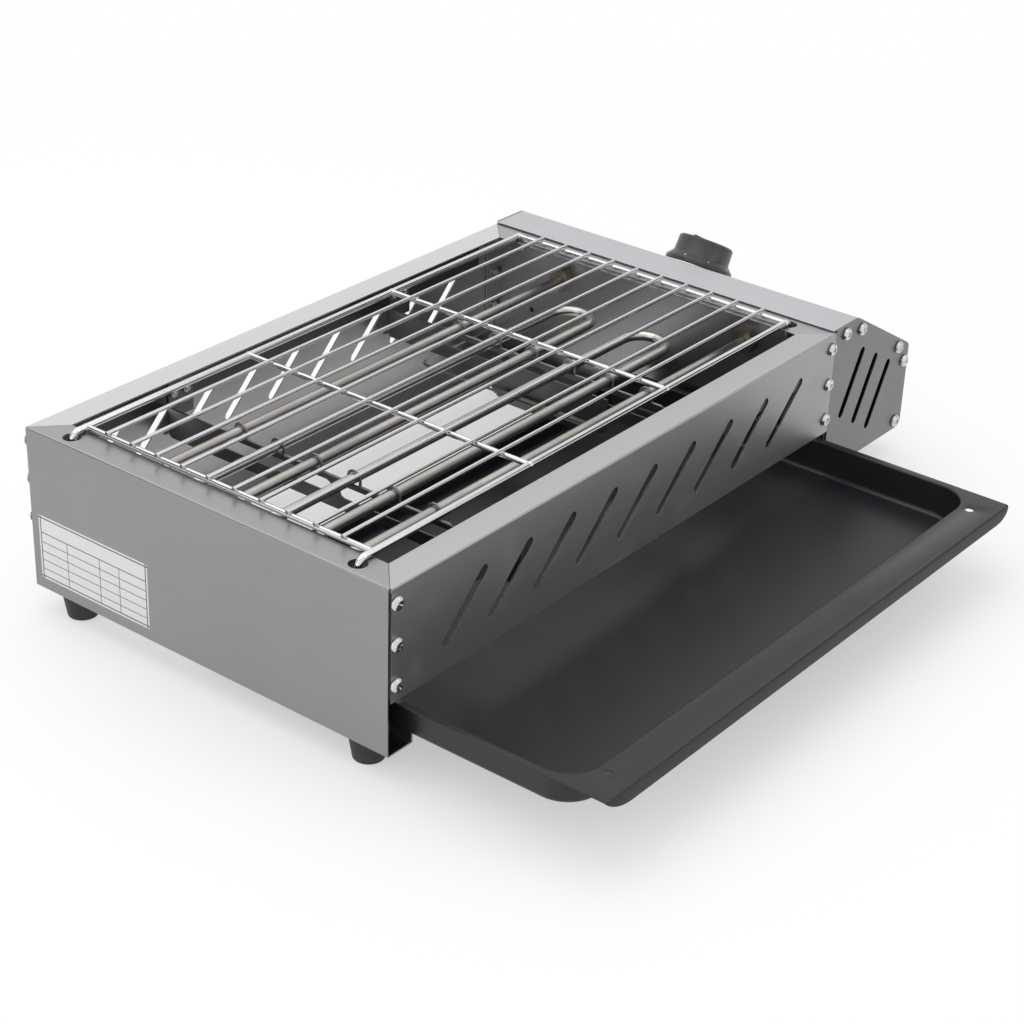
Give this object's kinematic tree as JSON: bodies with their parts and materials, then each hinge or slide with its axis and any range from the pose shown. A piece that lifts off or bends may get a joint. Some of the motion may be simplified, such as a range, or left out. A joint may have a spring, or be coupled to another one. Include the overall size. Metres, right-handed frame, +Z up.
{
  "type": "electric grill",
  "caption": "Low table-top electric grill: slotted folded-steel body, lift-off wire rack over a looped element, sloped control box with a knob, and a pull-out drip tray.",
  "frame": {"origin": "on the ground at the centre of the outline, tray as in the picture", "axes": "+X along the body towards the control box, +Y towards the rear, +Z up; the tray slides out towards -Y"},
  "size_m": [0.5354, 0.432, 0.1312],
  "materials": {
    "end_steel": "satin brushed sheet",
    "side_steel": "satin brushed sheet",
    "cover_steel": "satin brushed sheet",
    "plate_steel": "satin brushed sheet",
    "inner_steel": "plain mill sheet",
    "rack_chrome": "bright plated wire",
    "sheath_steel": "satin tube, slightly browned",
    "zinc": "bright zinc plate",
    "brass": "plain brass",
    "tray_coating": "satin black coating",
    "knob_black": "semi-matt black",
    "foot_rubber": "matt black",
    "ceramic": "matt off-white",
    "lead_sleeve": "woven sleeve",
    "bulb_copper": "bright copper"
  },
  "bodies": {
    "housing": {"bulb_bracket": "inner_steel", "cable_gland": "knob_black", "control_base": "inner_steel", "control_cover": "cover_steel", "control_side_front": "plate_steel", "control_side_rear": "plate_steel", "dial_ring": "zinc", "divider_panel": "inner_steel", "element_fitting_1": "brass", "element_fitting_2": "brass", "element_holder_1": "inner_steel", "element_holder_2": "inner_steel", "foot_1": "foot_rubber", "foot_2": "foot_rubber", "foot_3": "foot_rubber", "foot_4": "foot_rubber", "foot_bolt_1": "zinc", "foot_bolt_2": "zinc", "foot_bolt_3": "zinc", "foot_bolt_4": "zinc", "front_panel": "side_steel", "heating_element": "sheath_steel", "lead_1": "lead_sleeve", "lead_2": "lead_sleeve", "lead_3": "lead_sleeve", "left_end_panel": "end_steel", "rear_panel": "side_steel", "screw_front_01": "zinc", "screw_front_02": "zinc", "screw_front_03": "zinc", "screw_front_04": "zinc", "screw_front_05": "zinc", "screw_front_06": "zinc", "screw_front_07": "zinc", "screw_front_08": "zinc", "screw_front_09": "zinc", "screw_front_10": "zinc", "screw_front_11": "zinc", "screw_rear_01": "zinc", "screw_rear_02": "zinc", "screw_rear_03": "zinc", "screw_rear_04": "zinc", "screw_rear_05": "zinc", "screw_rear_06": "zinc", "screw_rear_07": "zinc", "screw_rear_08": "zinc", "screw_rear_09": "zinc", "screw_rear_10": "zinc", "screw_rear_11": "zinc", "support_strip_1": "inner_steel", "support_strip_2": "inner_steel", "terminal_block": "ceramic", "terminal_pin_1": "zinc", "terminal_pin_2": "zinc", "thermostat_body": "ceramic", "thermostat_bulb": "bulb_copper"},
    "rack": {"grill_rack": "rack_chrome"},
    "tray": {"drip_tray": "tray_coating"},
    "knob": {"knob": "knob_black", "thermostat_shaft": "zinc"}
  },
  "joints": [
    {"name": "rack_lift", "type": "slide", "parent": "housing", "child": "rack", "axis": [0, 0, 1], "range_m": [0, 0.06]},
    {"name": "tray_slide", "type": "slide", "parent": "housing", "child": "tray", "axis": [0, -1, 0], "range_m": [-0.113, 0.1]},
    {"name": "knob_turn", "type": "hinge", "parent": "housing", "child": "knob", "pos_m": [0.22869, 0.074, 0.10305], "axis": [0.5, 0, 0.866], "range_deg": [-270, 0]}
  ]
}
